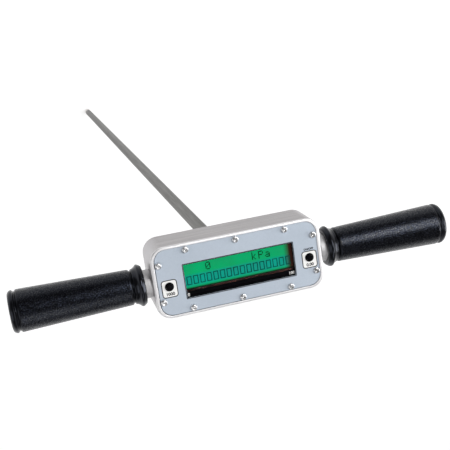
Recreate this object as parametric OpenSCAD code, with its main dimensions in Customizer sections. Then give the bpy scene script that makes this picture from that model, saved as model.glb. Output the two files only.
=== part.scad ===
// Soil penetrometer: a T-handle with a digital display on top of a double rod with a cone tip.
// The tip of the cone is at the origin, +Z runs up the rod to the display,
// X runs along the handle and +Y is the top edge of the display.

/* [Tip] */
// Diameter of the cone's base
cone_d = 12.83; // [11:0.01:13]
// Included angle of the cone
cone_angle = 60; // [30:1:90]
// Height of the straight lip above the cone
lip_h = 1.6; // [0.8:0.1:4]
// Height of the blend from the lip to the shank
lip_blend = 1; // [0.4:0.1:2]
// Diameter of the shank above the cone
shank_d = 11.4; // [10:0.1:12]
// Length of the shank
shank_len = 11; // [5:0.5:25]
// Height of the slope from the shank to the neck
shoulder_h = 1.7; // [0.8:0.1:4]
// Diameter of the neck, where the cone screws into the collar
neck_d = 9; // [8:0.1:9.8]
// Height of the flare from the neck to the collar
flare_h = 3.2; // [1.5:0.1:6]
// Length of the collar
collar_len = 6.2; // [3:0.1:15]
// Height of the slope from the collar to the stem
chamfer_h = 2; // [1:0.1:4]
// Diameter of the stem that slides in the tube
stem_d = 9.4; // [8:0.1:9.6]
// Length of the stem inside the tube
stem_in = 25; // [12:1:60]
// Free stem between the collar and the tube
tip_gap = 2.6; // [1.6:0.1:6]
// Diameter of the threaded stud on the cone
cone_stud_d = 5; // [3:0.5:6]
// Length of the threaded stud on the cone
cone_stud_len = 9; // [5:0.5:11]

/* [Rods] */
// Outer diameter of the tubes and the collar
tube_d = 12.7; // [12.2:0.1:14]
// Wall of the tubes
tube_wall = 0.9; // [0.7:0.05:1.2]
// Length of the lower tube
lower_tube_len = 443; // [250:1:600]
// Length of the upper tube
upper_tube_len = 899; // [300:1:1000]
// Rounding cut on the open end of the lower tube
tube_edge = 0.35; // [0.1:0.05:0.5]
// Visible band of the coupling between the tubes
coupling_band = 1.6; // [1:0.1:6]
// Depth of that band below the tubes
band_drop = 0.4; // [0.2:0.05:0.8]
// Length of each spigot of the coupling
coupling_spigot = 24; // [12:1:40]
// Wall of the coupling's spigots
coupling_wall = 1.5; // [1:0.1:1.7]
// Diameter of the push rod inside the tubes
push_rod_d = 6.35; // [5:0.05:6.6]
// Diameter of the joining spigots of the push rods
rod_spigot_d = 3.5; // [2.5:0.1:4]
// Length of the joining spigots of the push rods
rod_spigot_len = 10; // [5:0.5:14]
// Length of one guide bush
bush_len = 12; // [6:1:25]
// Guide bushes in the upper tube
upper_bushes = 4; // [1:1:6]
// Guide bushes in the lower tube
lower_bushes = 2; // [1:1:3]

/* [Housing] */
// Length of the housing along the handle
housing_w = 153; // [125:0.5:190]
// Height of the housing across the handle
housing_h = 65; // [53:0.5:85]
// Depth of the housing along the rod
housing_d = 40; // [33:0.5:60]
// Radius of the housing's corners
corner_r = 13.5; // [10:0.5:15]
// Rounding of the front and back edges
edge_r = 2; // [0.8:0.1:2.2]
// Rim around the plate at the two ends
rim_end = 3.6; // [2.5:0.1:5]
// Rim around the plate along the two long sides
rim_side = 2.8; // [2.3:0.1:4]
// Wall at the two ends, inside the rim
end_wall = 7; // [6:0.25:7.5]
// Wall along the two long sides, inside the rim
side_wall = 6.7; // [6:0.25:7]
// Back wall
back_wall = 8; // [7:0.25:9]
// Radius of the cavity's corners
cavity_r = 5; // [3:0.5:8]

/* [Front plate] */
// Thickness of the front plate
plate_t = 2; // [1.5:0.1:2.5]
// Depth of the plate below the rim
plate_sink = 0.7; // [0.2:0.1:1.2]
// Thickness of the gasket under the plate
gasket_t = 1; // [0.5:0.1:1.5]
// Distance from the plate's edge to the screws
screw_inset = 3.2; // [3:0.1:3.4]
// Distance between neighbouring screws on the long sides
long_screw_pitch = 44.5; // [40:0.5:50]
// Distance from the plate's long edges to the end screws
end_screw_drop = 12.95; // [12:0.05:16]
// Thread diameter of the screws
screw_d = 3; // [2.5:0.1:3.2]
// Diameter of the screw heads
screw_head_d = 5.8; // [5:0.1:6]
// Height of the screw heads
screw_head_h = 2; // [1.2:0.1:2.6]
// Length of the screws below the head
screw_len = 10; // [7:0.5:14]

/* [Display] */
// Distance from a button's middle to the opening
button_clear = 14.15; // [13:0.05:18]
// Distance from the plate's top edge to the opening
window_top = 16.45; // [14:0.05:18]
// Distance from the plate's bottom edge to the opening
window_bottom = 12.45; // [11:0.05:14]
// Shift of the opening and the buttons to the right
window_x = 0.8; // [-1:0.1:1]
// Height of the strip in the opening below the display
strip_h = 6.2; // [3:0.1:8]
// Lap of the pane behind the plate
pane_lap = 1.6; // [1:0.1:2]
// Thickness of the pane
pane_t = 1.5; // [1:0.1:2]
// Lap of the display's frame past the opening's ends
lcd_lap_end = 2.6; // [2.2:0.1:3]
// Lap of the display's frame past the view's long sides
lcd_lap_side = 3.5; // [2.6:0.1:4]
// Depth of the display's metal frame
lcd_frame_t = 6; // [5:0.2:6.6]
// Sheet of the display's metal frame
lcd_sheet = 0.8; // [0.5:0.1:1]
// Thickness of the display's glass
lcd_glass_t = 2.4; // [1.6:0.1:2.8]
// Lap of the display's board past its frame
board_lap = 5; // [4.8:0.1:5.6]
// Thickness of the circuit boards
board_t = 1.6; // [1:0.1:2]

/* [Buttons] */
// Distance from the plate's end to the middle of a button
button_inset = 9.2; // [8.6:0.1:9.6]
// Height of the buttons' middle above the handle
button_y = -3.5; // [-6:0.1:0]
// Diameter of the ring around a button
ring_d = 7.8; // [7.4:0.1:9]
// Height of the ring above the plate
ring_h = 0.9; // [0.5:0.1:1.5]
// Diameter of a button
button_d = 5.2; // [4:0.1:5.4]
// Height of a button above its ring
button_proud = 1.3; // [1:0.1:2.5]
// Travel of a button
button_travel = 0.8; // [0.3:0.1:0.9]
// Diameter of the switch's neck in the plate
switch_neck_d = 6.8; // [6.4:0.1:7]
// Diameter of the switch behind the plate
switch_d = 8.6; // [8:0.1:9]
// Depth of the switch behind its nut
switch_len = 3.6; // [3:0.1:4]
// Thickness of the nut behind the plate
switch_nut_t = 1.5; // [1:0.1:1.6]

/* [Handles] */
// Depth of the handle's axis behind the rim
handle_depth = 15; // [14.6:0.1:16]
// Drop of the handle's axis below the housing's middle
handle_drop = 1.3; // [0:0.1:3]
// Diameter of the handle bar between the housing and the grip
bar_d = 25; // [22:0.5:25]
// Length of the handle bar between the housing and the grip
bar_len = 6.1; // [4:0.1:20]
// Diameter of the handle bar inside the grip
core_d = 20; // [16:0.5:22]
// Diameter of the studs that join the handle bars to the housing
stud_d = 8; // [6:0.5:8]
// Length of the studs inside the housing's wall
stud_in = 8.5; // [6:0.5:9]
// Length of the studs inside the handle bars
stud_out = 20; // [12:1:40]
// Length of the grip's body between its grooves
grip_body_len = 95.3; // [80:0.1:140]
// Diameter of the grip's body at its inner end
grip_inner_d = 31.2; // [29:0.2:33]
// Diameter of the grip's body at its outer end
grip_outer_d = 37; // [30:0.2:40]
// Diameter of the grip's flange
flange_d = 37; // [35:0.2:42]
// Thickness of the grip's flange
flange_t = 9.3; // [6:0.1:12]
// Drop of the flange's slope towards the housing
flange_inner_drop = 2; // [1:0.1:3]
// Drop of the flange's slope towards its groove
flange_outer_drop = 3.6; // [2:0.1:4]
// Width of the groove beside the flange
inner_groove_w = 2.4; // [1.6:0.1:4]
// Depth of the groove beside the flange
inner_groove_deep = 1.9; // [0.8:0.1:2.4]
// Width of the groove beside the outer lip
outer_groove_w = 3.4; // [2:0.1:5]
// Depth of the groove beside the outer lip
outer_groove_deep = 1.9; // [0.8:0.1:3]
// Width of the lip at the grip's outer end
grip_lip_w = 4.2; // [3:0.1:8]
// Thickness of the grip's closed end
grip_end_t = 6; // [3:0.5:12]

/* [Load cell] */
// Length of the socket below the housing
socket_len = 22; // [14:1:40]
// Diameter of the socket below the housing
socket_d = 24; // [20:0.5:30]
// Length of the tube inside the socket
socket_grip = 16; // [8:1:30]
// Diameter of the socket's neck in the back wall
socket_neck_d = 16; // [15.4:0.1:17]
// Depth of the chamber for the thrust cap
chamber_deep = 6; // [5.8:0.1:6.4]
// Diameter of the thrust cap
cap_d = 11.6; // [9:0.1:12]
// Thickness of the thrust cap
cap_t = 3; // [2.5:0.1:3.4]
// Travel of the push rod before the cell stops it
probe_travel = 1; // [0.3:0.1:1.2]
// Diameter of the load cell
cell_d = 29; // [28.4:0.1:29.4]
// Height of the load cell
cell_h = 9; // [8.6:0.1:9.6]
// Diameter of the load cell's button
cell_button_d = 6; // [4:0.5:9]
// Circle of the load cell's screws
cell_screw_circle = 22.2; // [22:0.1:22.6]
// Depth of the load cell's screws in the back wall
cell_screw_in = 5; // [3:0.5:6]

/* [Boards and battery] */
// Gap between the cavity's walls and what stands on its floor
room_gap = 3; // [2.5:0.1:6]
// Height of the posts under the main board
post_h = 4; // [3.8:0.1:4.4]
// Diameter of the posts
post_d = 4.4; // [4.2:0.1:4.6]
// Thread diameter of the small screws
small_screw_d = 2; // [1.6:0.1:2.2]
// Distance from a board's edge to its screws
board_inset = 2.6; // [2.5:0.1:3]
// Thickness of the battery pack
pack_t = 10.5; // [6:0.1:11]
// Rounding of the battery pack
pack_r = 2; // [0.5:0.1:4]
// Wall of the battery holder
holder_wall = 1.1; // [0.8:0.1:1.2]
// Diameter of the leads
lead_d = 2; // [1:0.1:2.4]
// Width of the ribbon between the boards
ribbon_w = 20; // [10:1:26]
// Thickness of the ribbon
ribbon_t = 0.9; // [0.5:0.1:1.2]

/* [Hidden] */
$fn = 96;
// Overrun of every cut
over = 1;
// Gap around threads and pressed pieces
seat_gap = 0.05;
// Gap of a running fit
run_gap = 0.08;
// Gap between flat pieces that are only set down
rest_gap = 0.1;
// Gap around pieces that drop into a pocket
drop_gap = 0.3;
// Gap around a switch in its pocket
pocket_gap = 1;
// Floor under a blind hole in a post or a switch
blind_floor = 1.2;

// Heights along the tip
cone_h = cone_d / 2 / tan(cone_angle / 2);
lip_z = cone_h + lip_h;
shank_z = lip_z + lip_blend;
shoulder_z = shank_z + shank_len;
neck_z = shoulder_z + shoulder_h;
collar_z = neck_z + flare_h;
chamfer_z = collar_z + collar_len;
stem_z = chamfer_z + chamfer_h;
stem_top = stem_z + tip_gap + stem_in;

// Heights along the rods
tube_id = tube_d - 2 * tube_wall;
lower_tube_z = stem_z + tip_gap;
band_z = lower_tube_z + lower_tube_len;
upper_tube_z = band_z + coupling_band;
upper_tube_top = upper_tube_z + upper_tube_len;
coupling_bore = tube_id - 2 * coupling_wall;
rod_joint_z = upper_tube_z + coupling_spigot + bush_len;

// Heights of the housing
back_z = upper_tube_top - socket_grip + socket_len;
floor_z = back_z + back_wall;
front_z = back_z + housing_d;
plate_z = front_z - plate_sink - plate_t;
plate_top = plate_z + plate_t;
ledge_z = plate_z - gasket_t;
handle_z = front_z - handle_depth;

// Front plate and cavity
plate_gap = 0.15;
recess_w = housing_w - 2 * rim_end;
recess_h = housing_h - 2 * rim_side;
recess_r = corner_r - rim_side;
plate_w = recess_w - 2 * plate_gap;
plate_h = recess_h - 2 * plate_gap;
plate_r = recess_r - plate_gap;
cavity_w = recess_w - 2 * end_wall;
cavity_h = recess_h - 2 * side_wall;
screw_hole_d = screw_d + 2 * drop_gap;
screw_hole_deep = screw_len - plate_t - gasket_t + over;
screw_places = concat(
    [for (x = [-1, 0, 1], y = [-1, 1]) [x * long_screw_pitch, y * (plate_h / 2 - screw_inset)]],
    [for (x = [-1, 1], y = [-1, 1]) [x * (plate_w / 2 - screw_inset), y * (plate_h / 2 - end_screw_drop)]]
);
button_x = plate_w / 2 - button_inset;

// Display
window_w = 2 * (button_x - button_clear);
window_h = plate_h - window_top - window_bottom;
window_y = (window_bottom - window_top) / 2;
view_h = window_h - strip_h;
lcd_frame_w = window_w + 2 * lcd_lap_end;
lcd_frame_h = view_h + 2 * lcd_lap_side;
lcd_board_w = lcd_frame_w + 2 * board_lap;
lcd_board_h = lcd_frame_h + 2 * board_lap;
pane_z = plate_z - pane_t;
pane_w = window_w + 2 * pane_lap;
pane_h = window_h + 2 * pane_lap;
lcd_y = window_y + (window_h - view_h) / 2;
lcd_top = pane_z - rest_gap;
lcd_z = lcd_top - lcd_frame_t;
lcd_inner_w = lcd_frame_w - 2 * lcd_sheet;
lcd_inner_h = lcd_frame_h - 2 * lcd_sheet;
lcd_glass_top = lcd_top - lcd_sheet - rest_gap;
backlight_top = lcd_glass_top - lcd_glass_t - rest_gap;
lcd_board_z = lcd_z - board_t;
display_posts = [
    for (x = [-1, 1], y = [-1, 1])
        [window_x + x * (lcd_board_w / 2 - board_inset), lcd_y + y * (lcd_board_h / 2 - board_inset)]
];
small_head_share = 0.7;
small_head_d = 2 * small_screw_d;
small_head_h = small_head_share * small_screw_d;
small_screw_in = 2 * small_screw_d;

// Switches and their pockets
nut_share = 1.2;
nut_across = nut_share * switch_d;
nut_z = plate_z - switch_nut_t;
switch_z = nut_z - switch_len;
pocket_z = switch_z - pocket_gap;
pocket_d = nut_across + 2 * pocket_gap;
button_neck_share = 0.7;
button_neck_d = button_neck_share * button_d;
switch_floor_z = switch_z + blind_floor;
button_root = plate_z - button_travel - drop_gap;
dish_r = 2 * button_d;

// Handles, measured outwards from the housing's end
side_x = housing_w / 2;
grip_x = side_x + bar_len;
flange_crest_share = 0.4;
flange_top_share = 0.08;
body_x = grip_x + flange_t + inner_groove_w;
body_end_x = body_x + grip_body_len;
lip_x = body_end_x + outer_groove_w;
grip_end_x = lip_x + grip_lip_w;
core_end_x = grip_end_x - grip_end_t;
lip_flat_share = 0.05;
lip_round = (1 - lip_flat_share) * grip_lip_w;

// Socket, thrust cap and load cell
socket_z = back_z - socket_len;
tube_stop_z = socket_z + socket_grip;
chamber_z = floor_z - chamber_deep;
chamber_d = cap_d + 2 * drop_gap;
cap_z = chamber_z + rest_gap;
cell_button_z = cap_z + cap_t + probe_travel + drop_gap;
cell_top = floor_z + cell_h;
gland_share = 1.6;
gland_w = gland_share * lead_d;
gland_x = cell_d / 2 + lead_d / 2;

// Boards, battery and leads
main_x = gland_x + lead_d;
main_z = floor_z + post_h;
main_top = main_z + board_t;
main_board_w = cavity_w / 2 - main_x - room_gap;
main_board_h = cavity_h - 2 * room_gap;
connector_l = 2 * lead_d;
cell_lead_z = main_top + lead_d;
battery_lead_z = cell_top + drop_gap + lead_d / 2;
connector_top = battery_lead_z + lead_d;
main_posts = [
    for (x = [0, 1], y = [-1, 1])
        [main_x + board_inset + x * (main_board_w - 2 * board_inset), y * (main_board_h / 2 - board_inset)]
];
holder_x = -main_x;
holder_w = cavity_w / 2 + holder_x - room_gap;
holder_h = cavity_h - 2 * room_gap;
holder_top = connector_top;
pack_w = holder_w - 2 * holder_wall - 2 * drop_gap;
pack_h = holder_h - 2 * holder_wall - 2 * drop_gap;
ribbon_x = main_x + main_board_w / 2;
ribbon_y = -main_board_h / 4;
chip_share = 0.3;

// A rectangle with round corners
module rounded_rect(w, h, r) {
    square([w - 2 * r, h], center = true);
    square([w, h - 2 * r], center = true);
    for (x = [-1, 1], y = [-1, 1])
        translate([x * (w / 2 - r), y * (h / 2 - r)])
            circle(r);
}

// A block with round corners in plan and round front and back edges
module rounded_block(w, h, d, corner, edge) {
    rotate([90, 0, 90])
        linear_extrude(w - 2 * corner, center = true)
            rounded_rect(h, d, edge);
    rotate([90, 0, 0])
        linear_extrude(h - 2 * corner, center = true)
            rounded_rect(w, d, edge);
    for (q = [0 : 3])
        translate([(q == 0 || q == 3 ? 1 : -1) * (w / 2 - corner), (q < 2 ? 1 : -1) * (h / 2 - corner), 0])
            rotate(q * 90)
                rotate_extrude(angle = 90)
                    intersection() {
                        rounded_rect(2 * corner, d, edge);
                        translate([0, -d / 2])
                            square([corner, d]);
                    }
}

// A round piece on the rod's axis between two heights
module column(d, z0, z1) {
    translate([0, 0, z0])
        cylinder(d = d, h = z1 - z0);
}

// A tube on the rod's axis between two heights
module pipe(d, bore, z0, z1) {
    difference() {
        column(d, z0, z1);
        column(bore, z0 - over, z1 + over);
    }
}

// A block that is centred in plan on a point and stands between two heights
module slab(x, y, w, h, z0, z1) {
    translate([x - w / 2, y - h / 2, z0])
        cube([w, h, z1 - z0]);
}

// Turns a shape that stands on its end into one that points along the handle, on either side
module along_handle(side) {
    translate([0, -handle_drop, handle_z])
        rotate([0, side * 90, 0])
            children();
}

// Cone, lip, shank and the threaded stud that screws into the collar
module cone_tip() {
    color("lightgray")
        rotate_extrude()
            polygon([
                [0, 0], [cone_d / 2, cone_h], [cone_d / 2, lip_z], [shank_d / 2, shank_z],
                [shank_d / 2, shoulder_z], [neck_d / 2, neck_z], [cone_stud_d / 2, neck_z],
                [cone_stud_d / 2, neck_z + cone_stud_len], [0, neck_z + cone_stud_len]
            ]);
}

// Collar with its flare and the stem that runs into the tube
module tip_collar() {
    color("silver")
        difference() {
            rotate_extrude()
                polygon([
                    [0, neck_z], [neck_d / 2, neck_z], [tube_d / 2, collar_z], [tube_d / 2, chamfer_z],
                    [stem_d / 2, stem_z], [stem_d / 2, stem_top], [0, stem_top]
                ]);
            column(cone_stud_d + 2 * seat_gap, neck_z - over, neck_z + cone_stud_len + rest_gap);
            column(rod_spigot_d + 2 * seat_gap, stem_top - rod_spigot_len - rest_gap, stem_top + over);
        }
}

// Lower push rod with a spigot at each end
module lower_push_rod() {
    color("silver") {
        column(push_rod_d, stem_top, rod_joint_z);
        column(rod_spigot_d, stem_top - rod_spigot_len, rod_joint_z + rod_spigot_len);
    }
}

// Upper push rod, bored for the lower rod and with a spigot for the thrust cap
module upper_push_rod() {
    color("silver")
        difference() {
            union() {
                column(push_rod_d, rod_joint_z, cap_z);
                column(rod_spigot_d, rod_joint_z, cap_z + cap_t / 2);
            }
            column(rod_spigot_d + 2 * seat_gap, rod_joint_z - over, rod_joint_z + rod_spigot_len + rest_gap);
        }
}

// Cap that the push rod hangs from and that presses on the load cell
module thrust_cap() {
    color("gray")
        difference() {
            column(cap_d, cap_z, cap_z + cap_t);
            column(rod_spigot_d + 2 * seat_gap, cap_z - over, cap_z + cap_t / 2 + rest_gap);
        }
}

// Lower tube, with its open end's outer edge broken
module lower_tube() {
    color("darkgray")
        rotate_extrude()
            polygon([
                [tube_id / 2, lower_tube_z], [tube_d / 2 - tube_edge, lower_tube_z],
                [tube_d / 2, lower_tube_z + tube_edge], [tube_d / 2, band_z], [tube_id / 2, band_z]
            ]);
}

// Coupling with a spigot pressed into each tube and a thin band between them
module tube_coupling() {
    color("gray")
        difference() {
            union() {
                column(tube_d - 2 * band_drop, band_z, upper_tube_z);
                column(tube_id - 2 * seat_gap, band_z - coupling_spigot, upper_tube_z + coupling_spigot);
            }
            column(coupling_bore, band_z - coupling_spigot - over, upper_tube_z + coupling_spigot + over);
        }
}

// Upper tube
module upper_tube() {
    color("darkgray")
        pipe(tube_d, tube_id, upper_tube_z, upper_tube_top);
}

// Bushes that keep the push rod straight, spread evenly along each tube's free bore
module guide_bushes() {
    lower_start = stem_top + probe_travel;
    lower_free = band_z - coupling_spigot - lower_start;
    upper_start = upper_tube_z + coupling_spigot;
    upper_free = upper_tube_top - upper_start;
    lower_places = [for (i = [1 : lower_bushes]) lower_start + i * lower_free / (lower_bushes + 1)];
    upper_places = [for (i = [1 : upper_bushes]) upper_start + i * upper_free / (upper_bushes + 1)];
    color("white")
        for (z = concat(lower_places, upper_places))
            pipe(tube_id - 2 * seat_gap, push_rod_d + 2 * run_gap, z - bush_len / 2, z + bush_len / 2);
}

// Socket for the upper tube, with a neck through the back wall and a chamber for the cap
module rod_socket() {
    color("silver")
        difference() {
            union() {
                column(socket_d, socket_z, back_z);
                column(socket_neck_d, socket_z, floor_z);
            }
            column(tube_d + 2 * seat_gap, socket_z - over, tube_stop_z);
            column(push_rod_d + 2 * drop_gap, socket_z - over, floor_z + over);
            column(chamber_d, chamber_z, floor_z + over);
        }
}

// Housing, milled from a block: recess, cavity, switch pockets and threaded holes
module housing() {
    color("gainsboro")
        difference() {
            translate([0, 0, back_z + housing_d / 2])
                rounded_block(housing_w, housing_h, housing_d, corner_r, edge_r);
            translate([0, 0, ledge_z])
                linear_extrude(front_z - ledge_z + over)
                    rounded_rect(recess_w, recess_h, recess_r);
            translate([0, 0, floor_z])
                linear_extrude(front_z - floor_z)
                    rounded_rect(cavity_w, cavity_h, cavity_r);
            for (x = [-1, 1])
                translate([window_x + x * button_x, button_y, pocket_z])
                    cylinder(d = pocket_d, h = front_z - pocket_z);
            for (p = screw_places)
                translate([p[0], p[1], ledge_z - screw_hole_deep])
                    cylinder(d = screw_d + 2 * seat_gap, h = screw_hole_deep + over);
            for (a = [45 : 90 : 315])
                rotate(a)
                    translate([cell_screw_circle / 2, 0, floor_z - cell_screw_in - rest_gap])
                        cylinder(d = screw_d + 2 * seat_gap, h = cell_screw_in + over);
            column(socket_neck_d + 2 * seat_gap, back_z - over, floor_z + over);
            for (side = [-1, 1])
                along_handle(side)
                    translate([0, 0, side_x - stud_in - rest_gap])
                        cylinder(d = stud_d + 2 * seat_gap, h = stud_in + rest_gap + over);
        }
}

// Front plate with the display's opening and the holes for screws and switches
module front_plate() {
    color("lightsteelblue")
        translate([0, 0, plate_z])
            linear_extrude(plate_t)
                difference() {
                    rounded_rect(plate_w, plate_h, plate_r);
                    translate([window_x, window_y])
                        square([window_w, window_h], center = true);
                    for (p = screw_places)
                        translate(p)
                            circle(d = screw_hole_d);
                    for (x = [-1, 1])
                        translate([window_x + x * button_x, button_y])
                            circle(d = switch_neck_d + 2 * seat_gap);
                }
}

// Gasket between the plate and the housing's ledge
module plate_gasket() {
    color("black")
        translate([0, 0, ledge_z])
            linear_extrude(gasket_t)
                difference() {
                    rounded_rect(plate_w, plate_h, plate_r);
                    rounded_rect(cavity_w, cavity_h, cavity_r);
                    for (x = [-1, 1])
                        translate([window_x + x * button_x, button_y])
                            circle(d = pocket_d);
                    for (p = screw_places)
                        translate(p)
                            circle(d = screw_hole_d);
                }
}

// Round-headed screw that stands on a height, with its thread below
module round_screw(head_d, head_h, thread_d, len) {
    ball = (head_d * head_d / 4 + head_h * head_h) / (2 * head_h);
    intersection() {
        translate([0, 0, head_h - ball])
            sphere(ball);
        cylinder(d = head_d, h = head_h + over);
    }
    translate([0, 0, -len])
        cylinder(d = thread_d, h = len + head_h / 2);
}

// Screws that hold the front plate
module cover_screws() {
    color("white")
        for (p = screw_places)
            translate([p[0], p[1], plate_top])
                round_screw(screw_head_d, screw_head_h, screw_d, screw_len);
}

// Clear pane behind the opening
module display_window() {
    color("white", 0.4)
        slab(window_x, window_y, pane_w, pane_h, pane_z, plate_z);
}

// Metal frame of the display module
module lcd_frame() {
    color("dimgray")
        difference() {
            slab(window_x, lcd_y, lcd_frame_w, lcd_frame_h, lcd_z, lcd_top);
            slab(window_x, lcd_y, lcd_inner_w, lcd_inner_h, lcd_z - over, lcd_top - lcd_sheet);
            slab(window_x, lcd_y, window_w, view_h, lcd_z, lcd_top + over);
        }
}

// Liquid-crystal glass of the display module
module lcd_glass() {
    color("mediumseagreen")
        slab(window_x, lcd_y, lcd_inner_w - 2 * rest_gap, lcd_inner_h - 2 * rest_gap,
            lcd_glass_top - lcd_glass_t, lcd_glass_top);
}

// Backlight under the glass, which stands on the board
module lcd_backlight() {
    color("palegreen")
        slab(window_x, lcd_y, lcd_inner_w - 2 * rest_gap, lcd_inner_h - 2 * rest_gap, lcd_z, backlight_top);
}

// Board of the display module
module lcd_board() {
    color("darkgreen")
        difference() {
            slab(window_x, lcd_y, lcd_board_w, lcd_board_h, lcd_board_z, lcd_z);
            for (p = display_posts)
                translate([p[0], p[1], lcd_board_z - over])
                    cylinder(d = small_screw_d + 2 * drop_gap, h = board_t + 2 * over);
        }
}

// Posts with a threaded hole in one end
module post_set(places, z0, z1, hole_z0, hole_z1) {
    for (p = places)
        translate([p[0], p[1], 0])
            difference() {
                column(post_d, z0, z1);
                column(small_screw_d + 2 * seat_gap, hole_z0, hole_z1);
            }
}

// Small screws with flat heads, pointing up or down from a height
module small_screws(places, z, up) {
    for (p = places)
        translate([p[0], p[1], z])
            rotate([up ? 0 : 180, 0, 0]) {
                translate([0, 0, -small_head_h])
                    cylinder(d = small_head_d, h = small_head_h);
                cylinder(d = small_screw_d, h = board_t + small_screw_in - rest_gap);
            }
}

// Posts between the front plate and the display's board
module display_post_set() {
    color("goldenrod")
        post_set(display_posts, lcd_z, plate_z, lcd_z - over, lcd_z + small_screw_in);
}

// Screws that hold the display's board to its posts
module display_screws() {
    color("silver")
        small_screws(display_posts, lcd_board_z, true);
}

// Switch bodies: ring on the plate, neck through it and barrel behind it
module switch_bodies() {
    color("black")
        for (x = [-1, 1])
            translate([window_x + x * button_x, button_y, 0])
                difference() {
                    union() {
                        column(ring_d, plate_top, plate_top + ring_h);
                        column(switch_neck_d, switch_z, plate_top + ring_h);
                        column(switch_d, switch_z, nut_z);
                    }
                    column(button_d + 2 * run_gap, button_root, plate_top + ring_h + over);
                    column(button_neck_d + 2 * run_gap, switch_floor_z, button_root + over);
                }
}

// Hexagonal nuts that hold the switches to the plate
module switch_nuts() {
    color("silver")
        for (x = [-1, 1])
            translate([window_x + x * button_x, button_y, 0])
                difference() {
                    translate([0, 0, nut_z])
                        cylinder(d = nut_across, h = switch_nut_t, $fn = 6);
                    column(switch_neck_d + 2 * seat_gap, nut_z - over, plate_z + over);
                }
}

// Push button with a shallow dish in its face and a thinner root
module push_button() {
    root_z = button_root + button_travel + rest_gap;
    face_z = plate_top + ring_h + button_proud;
    translate([0, button_y, 0])
        difference() {
            union() {
                column(button_d, root_z, face_z);
                column(button_neck_d, switch_floor_z + button_travel + rest_gap, root_z + switch_nut_t);
            }
            translate([0, 0, face_z + dish_r * cos(asin(button_d / 3 / dish_r))])
                sphere(dish_r);
        }
}

// Left button
module left_button() {
    color("black")
        translate([window_x - button_x, 0, 0])
            push_button();
}

// Right button
module right_button() {
    color("black")
        translate([window_x + button_x, 0, 0])
            push_button();
}

// Load cell with its button below and a gland for its lead
module load_cell() {
    color("gainsboro")
        difference() {
            union() {
                column(cell_d, floor_z, cell_top);
                column(cell_button_d, cell_button_z, cell_top);
                translate([0, -gland_w / 2, cell_lead_z - gland_w / 2])
                    cube([gland_x, gland_w, gland_w]);
            }
            for (a = [45 : 90 : 315])
                rotate(a)
                    translate([cell_screw_circle / 2, 0, floor_z - over])
                        cylinder(d = screw_d + 2 * drop_gap, h = cell_h + 2 * over);
        }
}

// Screws that hold the load cell to the back wall
module load_cell_screws() {
    color("dimgray")
        for (a = [45 : 90 : 315])
            rotate(a)
                translate([cell_screw_circle / 2, 0, cell_top]) {
                    cylinder(d = screw_head_d, h = screw_d / 2);
                    translate([0, 0, -cell_h - cell_screw_in])
                        cylinder(d = screw_d, h = cell_h + cell_screw_in + screw_d / 4);
                }
}

// Lead from the load cell to the main board
module load_cell_lead() {
    color("gray")
        translate([gland_x, 0, cell_lead_z])
            rotate([0, 90, 0])
                cylinder(d = lead_d, h = main_x - gland_x);
}

// Main board with its chips and the connector for the leads
module main_board() {
    chip_w = chip_share * main_board_w;
    chip_h = chip_share * main_board_h;
    color("seagreen")
        difference() {
            union() {
                slab(main_x + main_board_w / 2, 0, main_board_w, main_board_h, main_z, main_top);
                slab(main_x + connector_l / 2, 0, connector_l, connector_l, main_z, connector_top);
                slab(ribbon_x + chip_w, main_board_h / 5, chip_w, chip_h, main_z, main_top + board_t);
                slab(ribbon_x - chip_w / 2, main_board_h / 5, chip_w / 2, chip_h, main_z, main_top + board_t);
            }
            for (p = main_posts)
                translate([p[0], p[1], main_z - over])
                    cylinder(d = small_screw_d + 2 * drop_gap, h = board_t + 2 * over);
        }
}

// Posts under the main board
module board_posts() {
    color("goldenrod")
        post_set(main_posts, floor_z, main_z, floor_z + blind_floor, main_z + over);
}

// Screws that hold the main board to its posts
module board_screws() {
    color("silver")
        for (p = main_posts)
            translate([p[0], p[1], main_top]) {
                cylinder(d = small_head_d, h = small_head_h);
                translate([0, 0, -board_t - post_h + blind_floor + rest_gap])
                    cylinder(d = small_screw_d, h = board_t + post_h - blind_floor);
            }
}

// Flat ribbon from the main board up to the display's board
module display_ribbon() {
    color("lightgray")
        slab(ribbon_x, ribbon_y, ribbon_w, ribbon_t, main_top, lcd_board_z);
}

// Open tray for the battery pack
module battery_holder() {
    color("black")
        difference() {
            slab(holder_x - holder_w / 2, 0, holder_w, holder_h, floor_z, holder_top);
            slab(holder_x - holder_w / 2, 0, holder_w - 2 * holder_wall, holder_h - 2 * holder_wall,
                floor_z + holder_wall, holder_top + over);
        }
}

// Flat battery pack that lies in its tray
module battery_pack() {
    color("orange")
        translate([holder_x - holder_w / 2, 0, floor_z + holder_wall + pack_t / 2])
            rounded_block(pack_w, pack_h, pack_t, pack_r, pack_r / 2);
}

// Lead from the battery tray to the main board, above the load cell
module battery_lead() {
    color("red")
        translate([holder_x, 0, battery_lead_z])
            rotate([0, 90, 0])
                cylinder(d = lead_d, h = main_x - holder_x);
}

// Threaded studs, half in the housing's end walls and half in the handle bars
module handle_studs() {
    color("gray")
        for (side = [-1, 1])
            along_handle(side)
                translate([0, 0, side_x - stud_in])
                    cylinder(d = stud_d, h = stud_in + stud_out);
}

// Handle bar: a short thick part beside the housing and a core inside the grip
module handle_bar(side) {
    color("silver")
        along_handle(side)
            difference() {
                union() {
                    column(bar_d, side_x, grip_x);
                    column(core_d, side_x, core_end_x - rest_gap);
                }
                column(stud_d + 2 * seat_gap, side_x - over, side_x + stud_out + rest_gap);
            }
}

module left_handle_bar() {
    handle_bar(-1);
}

module right_handle_bar() {
    handle_bar(1);
}

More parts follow.
